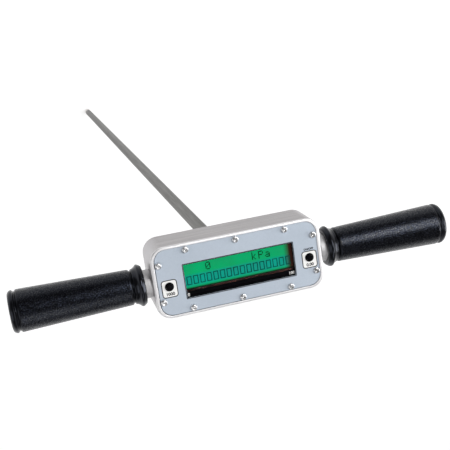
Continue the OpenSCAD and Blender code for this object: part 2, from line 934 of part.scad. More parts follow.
// Grip: flange with two slopes, groove, tapered body, groove and a rounded closed end
module grip(side) {
    crest_x = grip_x + flange_crest_share * flange_t;
    half_top = flange_top_share * flange_t;
    crest_r = flange_d / 2;
    inner_r = grip_inner_d / 2;
    outer_r = grip_outer_d / 2;
    round_z = grip_end_x - lip_round;
    color("black")
        along_handle(side)
            difference() {
                union() {
                    rotate_extrude()
                        polygon([
                            [0, grip_x], [crest_r - flange_inner_drop, grip_x],
                            [crest_r, crest_x - half_top], [crest_r, crest_x + half_top],
                            [crest_r - flange_outer_drop, grip_x + flange_t],
                            [inner_r - inner_groove_deep, body_x - inner_groove_w / 2],
                            [inner_r, body_x], [outer_r, body_end_x],
                            [outer_r - outer_groove_deep, lip_x - outer_groove_w / 2],
                            [outer_r, lip_x], [outer_r, round_z],
                            [outer_r - lip_round, round_z], [outer_r - lip_round, grip_end_x], [0, grip_end_x]
                        ]);
                    rotate_extrude()
                        intersection() {
                            translate([outer_r - lip_round, round_z])
                                circle(lip_round);
                            translate([outer_r - lip_round, round_z])
                                square(lip_round);
                        }
                }
                column(core_d + 2 * seat_gap, grip_x - over, core_end_x);
            }
}

module left_grip() {
    grip(-1);
}

module right_grip() {
    grip(1);
}

cone_tip();
tip_collar();
lower_push_rod();
upper_push_rod();
thrust_cap();
lower_tube();
tube_coupling();
upper_tube();
guide_bushes();
rod_socket();
housing();
front_plate();
plate_gasket();
cover_screws();
display_window();
lcd_frame();
lcd_glass();
lcd_backlight();
lcd_board();
display_post_set();
display_screws();
switch_bodies();
switch_nuts();
left_button();
right_button();
load_cell();
load_cell_screws();
load_cell_lead();
main_board();
board_posts();
board_screws();
display_ribbon();
battery_holder();
battery_pack();
battery_lead();
handle_studs();
left_handle_bar();
right_handle_bar();
left_grip();
right_grip();
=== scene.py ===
from math import atan2, cos, pi, radians, tan

import bmesh
import bpy
from mathutils import Euler, Matrix, Vector


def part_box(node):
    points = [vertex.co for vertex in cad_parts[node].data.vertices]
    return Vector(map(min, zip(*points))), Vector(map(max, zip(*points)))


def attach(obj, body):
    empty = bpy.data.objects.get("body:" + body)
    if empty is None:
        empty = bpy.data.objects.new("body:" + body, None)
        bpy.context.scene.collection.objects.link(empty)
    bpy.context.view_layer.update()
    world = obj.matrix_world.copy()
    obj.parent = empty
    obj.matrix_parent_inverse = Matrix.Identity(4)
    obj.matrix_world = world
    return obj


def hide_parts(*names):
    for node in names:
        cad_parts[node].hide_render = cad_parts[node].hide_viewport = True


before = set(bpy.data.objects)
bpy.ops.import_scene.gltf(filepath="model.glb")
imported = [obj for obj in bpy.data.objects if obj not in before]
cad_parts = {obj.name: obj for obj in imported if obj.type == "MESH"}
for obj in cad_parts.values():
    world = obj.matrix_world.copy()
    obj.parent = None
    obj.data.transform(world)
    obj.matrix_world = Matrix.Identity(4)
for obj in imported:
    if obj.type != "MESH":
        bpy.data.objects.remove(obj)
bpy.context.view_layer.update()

# Cone tip: a 60 degree cone with a short lip and a plain shank, turned from one bar of stainless steel.
# Its stud screws up into the collar, and the turning tool leaves fine rings and small broken edges.
mm = 0.001
weld = 0.001 * mm
sharp_angle = radians(35)


def colour(red, green, blue):
    """A linear colour with alpha from 8-bit screen values."""
    return *[((value / 255 + 0.055) / 1.055) ** 2.4 for value in (red, green, blue)], 1.0


def add_node(tree, kind, inputs=(), **settings):
    """A shader node with its settings, and its inputs set to values or linked to outputs."""
    node = tree.nodes.new(kind)
    for name, value in settings.items():
        setattr(node, name, value)
    for name, value in dict(inputs).items():
        if isinstance(value, bpy.types.NodeSocket):
            tree.links.new(value, node.inputs[name])
        else:
            node.inputs[name].default_value = value
    return node


def blend_colours(tree, factor, first, second):
    """The output of a node that goes from the first colour to the second."""
    first_slot, second_slot, result_slot = 6, 7, 2
    sockets = {0: factor, first_slot: first, second_slot: second}
    return add_node(tree, "ShaderNodeMix", sockets, data_type="RGBA").outputs[result_slot]


def ramp(tree, value, start, end, low=0.0, high=1.0):
    """The output of a node that maps a value from one range to another, and stops at the ends."""
    sockets = {"Value": value, "From Min": start, "From Max": end, "To Min": low, "To Max": high}
    return add_node(tree, "ShaderNodeMapRange", sockets).outputs["Result"]


def combine(tree, operation, first, second):
    """The output of a node that joins two values."""
    return add_node(tree, "ShaderNodeMath", {0: first, 1: second}, operation=operation).outputs["Value"]


def noise(tree, place, scale, detail=2.0):
    """The output of a node with a soft random pattern, by its scale and its detail."""
    sockets = {"Vector": place, "Scale": scale, "Detail": detail}
    return add_node(tree, "ShaderNodeTexNoise", sockets).outputs["Fac"]


def new_group(name, inputs, outputs):
    """A shader node group with named sockets, its given values and its wanted results."""
    group = bpy.data.node_groups.new(name, "ShaderNodeTree")
    for direction, sockets in (("INPUT", inputs), ("OUTPUT", outputs)):
        for socket, kind in sockets.items():
            group.interface.new_socket(socket, in_out=direction, socket_type="NodeSocket" + kind)
    return group, group.nodes.new("NodeGroupInput").outputs, group.nodes.new("NodeGroupOutput").inputs


# Marks of a worked surface: a tight grain, with a broad and slow mottling under it.
broad_share = 0.045
darkest, palest = 0.7, 1.3
fine_marks, given, wanted = new_group(
    "fine_marks",
    {"Vector": "Vector", "Pale": "Color", "Dark": "Color", "Smooth": "Float", "Rough": "Float"},
    {"Color": "Color", "Roughness": "Float", "Height": "Float"},
)
tight = noise(fine_marks, given["Vector"], 1.0, 3.0)
broad = noise(fine_marks, given["Vector"], broad_share)
level = ramp(fine_marks, combine(fine_marks, "ADD", tight, broad), darkest, palest)
mark_colour = blend_colours(fine_marks, level, given["Dark"], given["Pale"])
mark_roughness = ramp(fine_marks, level, 0.0, 1.0, given["Smooth"], given["Rough"])
for socket, value in (("Color", mark_colour), ("Roughness", mark_roughness), ("Height", tight)):
    fine_marks.links.new(value, wanted[socket])


def new_material(name):
    """An empty node material, and the place of each point on the piece."""
    material = bpy.data.materials.new(name)
    material.use_nodes = True
    material.node_tree.nodes.clear()
    place = add_node(material.node_tree, "ShaderNodeTexCoord").outputs["Object"]
    return material, material.node_tree, place


def close_material(tree, shader_inputs):
    """The shader that ends a material."""
    shader = add_node(tree, "ShaderNodeBsdfPrincipled", shader_inputs)
    add_node(tree, "ShaderNodeOutputMaterial", {"Surface": shader.outputs["BSDF"]})


def marked_finish(name, pale, dark, smooth, rough, grain, depth, **shader_inputs):
    """A material with fine marks: two 8-bit tones, a span of roughness, marks per metre and their depth."""
    material, tree, place = new_material(name)
    spread = add_node(tree, "ShaderNodeMapping", {"Vector": place, "Scale": grain}).outputs["Vector"]
    given = {
        "Vector": spread, "Pale": colour(*pale), "Dark": colour(*dark), "Smooth": smooth, "Rough": rough,
    }
    marks = add_node(tree, "ShaderNodeGroup", given, node_tree=fine_marks)
    relief = add_node(tree, "ShaderNodeBump", {"Height": marks.outputs["Height"], "Distance": depth})
    sockets = {socket.replace("_", " "): value for socket, value in shader_inputs.items()}
    sockets["Base Color"] = marks.outputs["Color"]
    sockets["Roughness"] = marks.outputs["Roughness"]
    sockets["Normal"] = relief.outputs["Normal"]
    close_material(tree, sockets)
    return material


def round_off(bm, geom, radius, steps, affect="EDGES"):
    """Rounds edges or flat corners to a radius."""
    bmesh.ops.bevel(bm, geom=geom, offset=radius, segments=steps, profile=0.5, affect=affect, material=-1)


def turned(outline, steps=96, round_steps=5):
    """A shape spun round the Z axis from a closed outline of (radius, height, rounding) corners."""
    bm = bmesh.new()
    corners = [bm.verts.new((radius, 0, height)) for radius, height, rounding in outline]
    bm.faces.new(corners)
    for corner, (radius, height, rounding) in zip(corners, outline):
        if rounding:
            round_off(bm, [corner], rounding, round_steps, "VERTICES")
    bmesh.ops.delete(bm, geom=bm.faces[:], context="FACES_ONLY")
    on_axis = [edge for edge in bm.edges if max(vert.co.x for vert in edge.verts) < weld]
    bmesh.ops.delete(bm, geom=on_axis, context="EDGES")
    bmesh.ops.spin(
        bm, geom=bm.verts[:] + bm.edges[:], cent=(0, 0, 0), axis=(0, 0, 1), angle=2 * pi, steps=steps,
        use_merge=True,
    )
    return bm


def make_piece(name, bm, material):
    """The finished mesh as an object: doubles merged, faces outwards, smooth apart from its sharp edges."""
    bmesh.ops.remove_doubles(bm, verts=bm.verts[:], dist=weld)
    bmesh.ops.recalc_face_normals(bm, faces=bm.faces[:])
    mesh = bpy.data.meshes.new(name)
    bm.to_mesh(mesh)
    bm.free()
    mesh.shade_smooth()
    mesh.set_sharp_from_angle(angle=sharp_angle)
    mesh.materials.append(material)
    piece = bpy.data.objects.new(name, mesh)
    bpy.context.scene.collection.objects.link(piece)
    piece.modifiers.new("even shading", "WEIGHTED_NORMAL").keep_sharp = True
    return piece


turned_steel = marked_finish(
    "turned_steel", pale=(214, 211, 208), dark=(190, 187, 184), smooth=0.16, rough=0.28,
    grain=(60, 60, 5000), depth=0.002 * mm, Metallic=1.0,
)
tip_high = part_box("cone_tip")[1]
fine_round, soft_round = 0.3 * mm, 0.4 * mm
lip_high, lip_blend, shank_long = 1.6 * mm, 1.0 * mm, 11 * mm
half_cone = radians(30)
cone_r = tip_high.x
cone_top = cone_r / tan(half_cone)
lip_top = cone_top + lip_high
shank_r = 5.7 * mm
shank_low = lip_top + lip_blend
shank_top = shank_low + shank_long
neck_r = 4.5 * mm
neck_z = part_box("tip_collar")[0].z
stud_r = 2.5 * mm
cone_tip = make_piece(
    "cone_tip_turned",
    turned([
        (0, 0, 0), (cone_r, cone_top, fine_round), (cone_r, lip_top, fine_round),
        (shank_r, shank_low, soft_round), (shank_r, shank_top, soft_round), (neck_r, neck_z, 0),
        (stud_r, neck_z, 0), (stud_r, tip_high.z, soft_round), (0, tip_high.z, 0),
    ]),
    turned_steel,
)
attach(cone_tip, "probe")
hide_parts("cone_tip")

# Collar: a short turned piece of the same steel, flared from the neck up to the tube's own diameter.
# Its stem runs up into the tube, and the cone's stud and the push rod's spigot screw into its ends.
collar_low, collar_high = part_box("tip_collar")
collar_r = collar_high.x
flare_high, collar_long, chamfer_high = 3.2 * mm, 6.2 * mm, 2.0 * mm
collar_z = collar_low.z + flare_high
collar_top = collar_z + collar_long
stem_r = 4.7 * mm
stem_low = collar_top + chamfer_high
rod_spigot_r = 1.75 * mm
thread_gap = 0.05 * mm
stud_hole = stud_r + thread_gap
stud_hole_top = tip_high.z + 2 * thread_gap
spigot_hole = rod_spigot_r + thread_gap
spigot_hole_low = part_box("lower_push_rod")[0].z - 2 * thread_gap
tip_collar = make_piece(
    "tip_collar_turned",
    turned([
        (stud_hole, collar_low.z, 0), (neck_r, collar_low.z, 0), (collar_r, collar_z, soft_round),
        (collar_r, collar_top, soft_round), (stem_r, stem_low, fine_round),
        (stem_r, collar_high.z, soft_round), (spigot_hole, collar_high.z, 0),
        (spigot_hole, spigot_hole_low, 0), (0, spigot_hole_low, 0), (0, stud_hole_top, 0),
        (stud_hole, stud_hole_top, 0),
    ]),
    turned_steel,
)
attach(tip_collar, "probe")
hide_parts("tip_collar")

# Push rod: two ground steel bars joined by a spigot, with a hard cap that presses on the load cell.
# The rod carries the cone's load up the middle of the tubes and touches only its nylon bushes.
def dress(material, *nodes):
    """Gives plain nodes of the frame their finish."""
    for node in nodes:
        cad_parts[node].material_slots[0].material = material


ground_steel = marked_finish(
    "ground_steel", pale=(186, 186, 188), dark=(164, 164, 166), smooth=0.2, rough=0.32,
    grain=(2500, 2500, 40), depth=0.002 * mm, Metallic=1.0,
)
nylon = marked_finish(
    "nylon", pale=(232, 230, 222), dark=(220, 217, 207), smooth=0.4, rough=0.55,
    grain=(700, 700, 700), depth=0.01 * mm,
)
dress(ground_steel, "lower_push_rod", "upper_push_rod", "thrust_cap")
dress(nylon, "guide_bushes")

# Outer rod: two drawn steel tubes with a satin skin, and a coupling whose thin band shows between them.
# The open end at the tip and the ends at the band have their edges broken by hand.
drawn_steel = marked_finish(
    "drawn_steel", pale=(190, 189, 187), dark=(128, 127, 125), smooth=0.3, rough=0.42,
    grain=(2200, 2200, 22), depth=0.003 * mm, Metallic=1.0, Specular_Tint=colour(176, 176, 176),
)
tube_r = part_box("upper_tube")[1].x
tube_wall, coupling_wall, band_drop = 0.9 * mm, 1.5 * mm, 0.4 * mm
tube_edge, bore_edge = 0.35 * mm, 0.2 * mm
tube_hole = tube_r - tube_wall
band_r = tube_r - band_drop
for node in ("lower_tube", "upper_tube"):
    low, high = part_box(node)
    tube = make_piece(
        node + "_drawn",
        turned([
            (tube_hole, low.z, bore_edge), (tube_r, low.z, tube_edge), (tube_r, high.z, tube_edge),
            (tube_hole, high.z, bore_edge),
        ]),
        drawn_steel,
    )
    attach(tube, "frame")
    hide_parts(node)
coupling_low, coupling_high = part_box("tube_coupling")
band_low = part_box("lower_tube")[1].z
band_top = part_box("upper_tube")[0].z
spigot_r = tube_hole - thread_gap
coupling_hole = tube_hole - coupling_wall
coupling = make_piece(
    "tube_coupling_turned",
    turned([
        (coupling_hole, coupling_low.z, 0), (spigot_r, coupling_low.z, soft_round), (spigot_r, band_low, 0),
        (band_r, band_low, 0), (band_r, band_top, 0), (spigot_r, band_top, 0),
        (spigot_r, coupling_high.z, soft_round), (coupling_hole, coupling_high.z, 0),
    ]),
    turned_steel,
)
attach(coupling, "frame")
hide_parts("tube_coupling")

# Rod socket: a turned aluminium collar that the upper tube is pressed into, under the housing's back.
# Its neck goes through the back wall, and its chamber lets the thrust cap move against the load cell.
bare_aluminium = marked_finish(
    "bare_aluminium", pale=(206, 205, 206), dark=(186, 185, 186), smooth=0.6, rough=0.68,
    grain=(3500, 60, 60), depth=0.002 * mm, Metallic=1.0,
)
socket_low, socket_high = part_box("rod_socket")
housing_low, housing_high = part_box("housing")
socket_r = socket_high.x
socket_neck_r = 8 * mm
play, rest_gap = 0.3 * mm, 0.1 * mm
mouth_round, foot_round = 0.5 * mm, 1.5 * mm
cap_low, cap_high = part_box("thrust_cap")
chamber_r = cap_high.x + play
chamber_low = cap_low.z - rest_gap
rod_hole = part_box("upper_push_rod")[1].x + play
tube_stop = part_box("upper_tube")[1].z
rod_socket = make_piece(
    "rod_socket_turned",
    turned([
        (tube_r + thread_gap, socket_low.z, mouth_round), (socket_r, socket_low.z, foot_round),
        (socket_r, housing_low.z, fine_round), (socket_neck_r, housing_low.z, 0),
        (socket_neck_r, socket_high.z, fine_round), (chamber_r, socket_high.z, 0),
        (chamber_r, chamber_low, 0), (rod_hole, chamber_low, 0), (rod_hole, tube_stop, 0),
        (tube_r + thread_gap, tube_stop, 0),
    ]),
    bare_aluminium,
)
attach(rod_socket, "frame")
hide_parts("rod_socket")

# Housing: a block of aluminium milled to a box, with a blasted front and ends and brushed long sides, whose
# tones also hold painted light and shade.
# Its rim stands a little above the plate, which lies in a recess on a ledge round the deep cavity.
front_finish_and_light_fade, end_painted_light_fade, brush_fade = (0.05, 0.5), (0.05, 0.75), (0.3, 0.7)
brush_grain, blast_grain = (18, 1500, 1500), 1800.0
brush_deep = 0.003 * mm
side_roughness, front_roughness = 0.42, 0.55
satin_aluminium, tree, place = new_material("satin_aluminium")
surface_way = add_node(tree, "ShaderNodeTexCoord").outputs["Normal"]
faced = add_node(tree, "ShaderNodeSeparateXYZ", {"Vector": surface_way}).outputs
on_front_finish_and_light = ramp(tree, faced["Z"], *front_finish_and_light_fade)
end_way = add_node(tree, "ShaderNodeMath", {0: faced["X"]}, operation="ABSOLUTE").outputs["Value"]
on_end_painted_light = ramp(tree, end_way, *end_painted_light_fade)
brush_way = add_node(tree, "ShaderNodeMapping", {"Vector": place, "Scale": brush_grain}).outputs["Vector"]
brushed = noise(tree, brush_way, 1.0, 4.0)
blasted = noise(tree, place, blast_grain)
# Painted light and shade: the base colour follows the way each face points. It is near-white on the front,
# lighter on the ends and darker on the long sides, over the real brushed streaks and blasted speckle.
brushed_side_painted_shade_tone = blend_colours(
    tree, ramp(tree, brushed, *brush_fade), colour(146, 143, 144), colour(184, 181, 182)
)
blasted_front_painted_light_tone = blend_colours(tree, blasted, colour(232, 231, 232), colour(243, 242, 243))
blasted_end_painted_light_tone = blend_colours(tree, blasted, colour(190, 188, 190), colour(204, 202, 204))
wall_painted_light_and_shade_tone = blend_colours(tree, on_end_painted_light, brushed_side_painted_shade_tone, blasted_end_painted_light_tone)
relief = add_node(tree, "ShaderNodeBump", {"Height": brushed, "Distance": brush_deep}).outputs["Normal"]
close_material(
    tree,
    {
        "Base Color": blend_colours(tree, on_front_finish_and_light, wall_painted_light_and_shade_tone, blasted_front_painted_light_tone), "Metallic": 1.0,
        "Roughness": ramp(tree, on_front_finish_and_light, 0.0, 1.0, side_roughness, front_roughness), "Normal": relief,
    },
)
corner_r = 13.5 * mm
edge_r = 2.0 * mm
rim_side = 2.8 * mm
rim_end = 3.6 * mm
side_wall = 6.7 * mm
end_wall = 7.0 * mm
rim_edge = 0.4 * mm
corner_steps, edge_steps, rim_steps = 16, 6, 3
cavity_floor = socket_high.z
ledge_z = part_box("plate_gasket")[0].z


def add_block(bm, low, high):
    """A block between two corners."""
    low, high = Vector(low), Vector(high)
    verts = bmesh.ops.create_cube(bm, size=1)["verts"]
    bmesh.ops.scale(bm, vec=high - low, verts=verts)
    bmesh.ops.translate(bm, vec=(low + high) / 2, verts=verts)
    return list({edge for vert in verts for edge in vert.link_edges})


def sink_face(bm, face, inset_y, inset_x, drop):
    """Steps a flat face in from its edge, by one width along Y and another along X, and then down."""
    bmesh.ops.inset_region(bm, faces=[face], thickness=inset_y, use_even_offset=True)
    length = 2 * max(vert.co.x for vert in face.verts)
    stretch = (length - 2 * (inset_x - inset_y)) / length
    bmesh.ops.scale(bm, vec=(stretch, 1, 1), verts=face.verts[:])
    lip = face.edges[:]
    sunk = bmesh.ops.extrude_discrete_faces(bm, faces=[face])["faces"][0]
    bmesh.ops.translate(bm, vec=(0, 0, -drop), verts=sunk.verts[:])
    return sunk, lip


def round_loop(bm, radius, place, steps=64):
    """The edges of a circle that lies flat at a place."""
    verts = bmesh.ops.create_circle(bm, segments=steps, radius=radius)["verts"]
    bmesh.ops.translate(bm, vec=place, verts=verts)
    return list({edge for vert in verts for edge in vert.link_edges})


bm = bmesh.new()
add_block(bm, housing_low, housing_high)
uprights = [edge for edge in bm.edges if abs(edge.verts[0].co.z - edge.verts[1].co.z) > weld]
round_off(bm, uprights, corner_r, corner_steps)
by_height = sorted(bm.faces, key=lambda face: face.calc_center_median().z)
outlines = by_height[0].edges[:] + by_height[-1].edges[:]
round_off(bm, outlines, edge_r, edge_steps)
by_height = sorted(bm.faces, key=lambda face: face.calc_center_median().z)
back_face, front_face = by_height[0], by_height[-1]
recess_deep = housing_high.z - ledge_z
ledge_face, rim_lip = sink_face(bm, front_face, rim_side - edge_r, rim_end - edge_r, recess_deep)
floor_face = sink_face(bm, ledge_face, side_wall, end_wall, ledge_z - cavity_floor)[0]
holes = []
for face in (back_face, floor_face):
    hole = round_loop(bm, socket_neck_r + thread_gap, (0, 0, face.calc_center_median().z))
    bmesh.ops.bridge_loops(bm, edges=face.edges[:] + hole)
    bmesh.ops.delete(bm, geom=[face], context="FACES_ONLY")
    holes += hole
bmesh.ops.bridge_loops(bm, edges=holes)
round_off(bm, rim_lip, rim_edge, rim_steps)
housing = make_piece("housing_milled", bm, satin_aluminium)
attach(housing, "frame")
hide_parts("housing")

# Load cell: a squat steel button cell, screwed to the back wall over the rod, with a short grey lead.
# The lead's gland and the screws sit inside the cavity, where nothing shows once the plate is on.
cell_steel = marked_finish(
    "cell_steel", pale=(196, 198, 200), dark=(178, 180, 183), smooth=0.22, rough=0.34,
    grain=(900, 900, 900), depth=0.003 * mm, Metallic=1.0,
)
zinc_steel = marked_finish(
    "zinc_steel", pale=(176, 178, 182), dark=(150, 152, 156), smooth=0.25, rough=0.4,
    grain=(1400, 1400, 1400), depth=0.004 * mm, Metallic=1.0,
)
grey_lead = marked_finish(
    "grey_lead", pale=(150, 151, 154), dark=(128, 129, 133), smooth=0.4, rough=0.55,
    grain=(900, 900, 900), depth=0.01 * mm,
)
dress(cell_steel, "load_cell")
dress(zinc_steel, "load_cell_screws", "handle_studs", "switch_nuts", "board_screws", "display_screws")
dress(grey_lead, "load_cell_lead", "display_ribbon")

# Boards: the main board on its brass posts with its chips and connector, and the display's own board.
# Both are green glass-fibre sheet with a glossy solder mask over faint copper tracks.
board_green = marked_finish(
    "board_green", pale=(36, 110, 62), dark=(20, 84, 44), smooth=0.25, rough=0.4,
    grain=(420, 90, 420), depth=0.02 * mm, Coat_Weight=0.3,
)
post_brass = marked_finish(
    "post_brass", pale=(214, 178, 98), dark=(188, 150, 74), smooth=0.22, rough=0.34,
    grain=(60, 60, 4000), depth=0.003 * mm, Metallic=1.0,
)
dress(board_green, "main_board", "lcd_board")
dress(post_brass, "board_posts", "display_post_set")

# Battery: a flat pack in an orange shrink skin that lies in an open moulded tray.
# A red lead runs from the tray over the load cell to the main board's connector.
holder_plastic = marked_finish(
    "holder_plastic", pale=(46, 46, 48), dark=(34, 34, 36), smooth=0.45, rough=0.6,
    grain=(800, 800, 800), depth=0.02 * mm,
)
battery_skin = marked_finish(
    "battery_skin", pale=(226, 128, 44), dark=(204, 106, 30), smooth=0.28, rough=0.42,
    grain=(180, 260, 180), depth=0.03 * mm,
)
red_lead = marked_finish(
    "red_lead", pale=(190, 36, 30), dark=(164, 24, 20), smooth=0.38, rough=0.5,
    grain=(900, 900, 900), depth=0.01 * mm,
)
dress(holder_plastic, "battery_holder")
dress(battery_skin, "battery_pack")
dress(red_lead, "battery_lead")

# Display module: a dark brown sheet-metal frame round the glass of a two-line character display.
# A green backlight glows through the glass, and fades to the bare brown edge at the right end.
frame_metal = marked_finish(
    "frame_metal", pale=(84, 44, 38), dark=(64, 32, 28), smooth=0.35, rough=0.5,
    grain=(1500, 1500, 1500), depth=0.004 * mm,
)
backlight_plastic = marked_finish(
    "backlight_plastic", pale=(206, 232, 200), dark=(190, 220, 186), smooth=0.4, rough=0.5,
    grain=(300, 300, 300), depth=0.01 * mm,
)
dress(frame_metal, "lcd_frame")
dress(backlight_plastic, "lcd_backlight")
glass_low, glass_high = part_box("lcd_glass")
glow_right = 45.2 * mm
glow_bottom = -9.6 * mm
fade_x = 2.6 * mm
fade_y = 0.9 * mm
cell_row_y = -3.2 * mm
cell_high = 7.9 * mm
cell_wide = 4.5 * mm
cell_pitch = 6.0 * mm
cell_count = 16
first_cell_x = -46.5 * mm
glow_green = colour(0, 176, 109)
glow_teal = colour(4, 164, 142)
bare_brown = colour(50, 22, 16)
edge_black = colour(10, 12, 8)
cloud_cells, cloud_fade, cloud_share = 70.0, (0.35, 0.75), 0.16
dark_share, glow_strength, glass_roughness = 0.7, 0.95, (0.2, 0.3)
row_reach, row_soft = 0.62 * cell_high, 1.2 * mm
row_low, row_top = cell_row_y - row_reach, cell_row_y + row_reach

lcd_glow, tree, place = new_material("lcd_glow")
along = add_node(tree, "ShaderNodeSeparateXYZ", {"Vector": place}).outputs
cloud = noise(tree, place, cloud_cells)


def between(tree, value, rise_start, rise_end, fall_start, fall_end):
    """The output of nodes that rise to one and fall back to zero along a value."""
    rise = ramp(tree, value, rise_start, rise_end)
    fall = ramp(tree, value, fall_start, fall_end, 1.0, 0.0)
    return combine(tree, "MULTIPLY", rise, fall)


in_row = between(
    tree, along["Y"], row_low - row_soft, row_low + row_soft, row_top - row_soft, row_top + row_soft
)
clouded = ramp(tree, cloud, *cloud_fade, 0.0, cloud_share)
right_end = ramp(tree, along["X"], glow_right - fade_x, glow_right + fade_x)
dark_end = ramp(tree, along["X"], glow_right + fade_x, glass_high.x, 0.0, dark_share)
above_bottom = ramp(tree, along["Y"], glow_bottom - fade_y, glow_bottom + fade_y)
glow = blend_colours(tree, in_row, glow_green, glow_teal)
glow = blend_colours(tree, clouded, glow, bare_brown)
glow = blend_colours(tree, right_end, glow, bare_brown)
glow = blend_colours(tree, dark_end, glow, edge_black)
glow = blend_colours(tree, above_bottom, edge_black, glow)
close_material(
    tree,
    {
        "Base Color": colour(2, 12, 8), "Roughness": ramp(tree, cloud, 0.2, 0.8, *glass_roughness),
        "Emission Color": glow, "Emission Strength": glow_strength, "Specular IOR Level": 0.0,
    },
)
glass_edge, sheet_steps = 0.15 * mm, 2
bm = bmesh.new()
sheet_edges = add_block(bm, glass_low, glass_high)
round_off(bm, sheet_edges, glass_edge, sheet_steps)
lcd_glass = make_piece("lcd_glass_sheet", bm, lcd_glow)
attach(lcd_glass, "frame")
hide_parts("lcd_glass")

# Characters of the display: dark dots in the first line, and a row of hollow bar cells in the second.
# They lie on the glass as thin films, the bar cells paler than the dots.
dot_film = marked_finish(
    "dot_film", pale=(0, 40, 28), dark=(0, 30, 20), smooth=0.3, rough=0.4,
    grain=(3000, 3000, 3000), depth=0.001 * mm, Specular_IOR_Level=0.0,
)
cell_film = marked_finish(
    "cell_film", pale=(0, 88, 76), dark=(0, 72, 64), smooth=0.3, rough=0.4,
    grain=(400, 400, 400), depth=0.001 * mm, Specular_IOR_Level=0.0,
)
film = 0.03 * mm
film_top = glass_high.z + film
cell_line = 0.8 * mm
panel_corner_steps = 12


def only_verts(geom):
    """The vertices among mixed parts of a mesh."""
    return [item for item in geom if isinstance(item, bmesh.types.BMVert)]


def panel_face(bm, low, high, corner, z):
    """A flat rectangle with round corners at a height."""
    before = set(bm.faces)
    verts = bmesh.ops.create_grid(bm, x_segments=1, y_segments=1, size=0.5)["verts"]
    bmesh.ops.scale(bm, vec=(high[0] - low[0], high[1] - low[1], 1), verts=verts)
    bmesh.ops.translate(bm, vec=((low[0] + high[0]) / 2, (low[1] + high[1]) / 2, z), verts=verts)
    if corner:
        round_off(bm, verts, corner, panel_corner_steps, "VERTICES")
    (face,) = set(bm.faces) - before
    return face


def add_frame(bm, low, high, corner, width, z, rise):
    """A raised line of a width round the outside of a rectangle."""
    outer_low = (low[0] - width, low[1] - width)
    outer_high = (high[0] + width, high[1] + width)
    face = panel_face(bm, outer_low, outer_high, corner + width if corner else 0, z)
    ring = bmesh.ops.inset_region(
        bm, faces=[face], thickness=width, use_boundary=True, use_even_offset=True
    )["faces"]
    bmesh.ops.delete(bm, geom=[face], context="FACES_ONLY")
    raised = bmesh.ops.extrude_face_region(bm, geom=ring, use_keep_orig=True)["geom"]
    bmesh.ops.translate(bm, vec=(0, 0, rise), verts=only_verts(raised))


bm = bmesh.new()
hollow_y = cell_high / 2 - cell_line
for index in range(cell_count):
    left = first_cell_x + index * cell_pitch + cell_line
    low = (left, cell_row_y - hollow_y)
    high = (left + cell_wide - 2 * cell_line, cell_row_y + hollow_y)
    add_frame(bm, low, high, 0, cell_line, glass_high.z, film)
bar_cells = make_piece("lcd_bar_cells", bm, cell_film)
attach(bar_cells, "frame")
digit_zero = (".###.", "#...#", "#..##", "#.#.#", "##..#", "#...#", ".###.")
letter_k = ("#....", "#....", "#..#.", "#.#..", "##...", "#.#..", "#..#.")
letter_p = ("####.", "#...#", "#...#", "####.", "#....", "#....", "#....")
letter_a = (".....", ".....", ".###.", "....#", ".####", "#...#", ".####")
reading = {3: digit_zero, 10: letter_k, 11: letter_p, 12: letter_a}
dot_x = cell_wide / 5
dot_y = cell_high / 8
dot_gap = 0.05 * mm
text_top = 10.4 * mm
bm = bmesh.new()
for column, character in reading.items():
    for row, line in enumerate(character):
        for step, mark in enumerate(line):
            if mark == "#":
                left = first_cell_x + column * cell_pitch + step * dot_x
                top = text_top - row * dot_y
                dot_low = (left + dot_gap, top - dot_y + dot_gap, glass_high.z)
                add_block(bm, dot_low, (left + dot_x, top, film_top))
dots = make_piece("lcd_dots", bm, dot_film)
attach(dots, "frame")

# Pane: a clear acrylic sheet behind the plate's opening, with a black strip printed along its lower edge.
# White numbers on the strip mark the ends of the bar above it, and both prints are on the pane's front.
pane_low, pane_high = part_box("display_window")
white = (1, 1, 1, 1)
pane_edge = 0.2 * mm
haze_cells, pane_roughness = 120.0, (0.0, 0.004)
clear_pane, tree, place = new_material("clear_pane")
haze = noise(tree, place, haze_cells)
close_material(
    tree,
    {
        "Base Color": white, "Roughness": ramp(tree, haze, 0.3, 0.8, *pane_roughness),
        "IOR": 1.3, "Transmission Weight": 1.0,
    },
)
bm = bmesh.new()
pane_edges = add_block(bm, pane_low, pane_high)
round_off(bm, pane_edges, pane_edge, sheet_steps)
pane = make_piece("display_window_pane", bm, clear_pane)
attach(pane, "frame")
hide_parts("display_window")

black_ink = marked_finish(
    "black_ink", pale=(14, 14, 17), dark=(8, 8, 10), smooth=0.4, rough=0.5,
    grain=(1200, 1200, 1200), depth=0.001 * mm, Specular_IOR_Level=0.0,
)
white_ink = marked_finish(
    "white_ink", pale=(246, 246, 244), dark=(238, 238, 236), smooth=0.4, rough=0.5,
    grain=(900, 900, 900), depth=0.001 * mm,
)
ink = 0.03 * mm
window_left, window_right = -48.6 * mm, 50.2 * mm
window_low, window_top = -17.1 * mm, 13.1 * mm
strip_top = -12.0 * mm
strip_inset = 0.5 * mm
strip_z = pane_high.z
strip_corner = 0.3 * mm


def panel_loop(bm, low, high, corner, z):
    """The edges of a flat rectangle with round corners, without its face."""
    face = panel_face(bm, low, high, corner, z)
    edges = face.edges[:]
    bmesh.ops.delete(bm, geom=[face], context="FACES_ONLY")
    return edges


def pad_print(name, low, high, corner, z, material):
    """A printed field with round corners."""
    bm = bmesh.new()
    loops = [panel_loop(bm, low, high, corner, z + rise) for rise in (0, ink)]
    bmesh.ops.bridge_loops(bm, edges=loops[0] + loops[1])
    for loop in loops:
        bmesh.ops.edgeloop_fill(bm, edges=loop)
    return make_piece(name, bm, material)


strip_low = (window_left + strip_inset, window_low + strip_inset)
strip_high = (window_right - strip_inset, strip_top)
strip = pad_print("scale_strip", strip_low, strip_high, strip_corner, strip_z, black_ink)
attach(strip, "frame")


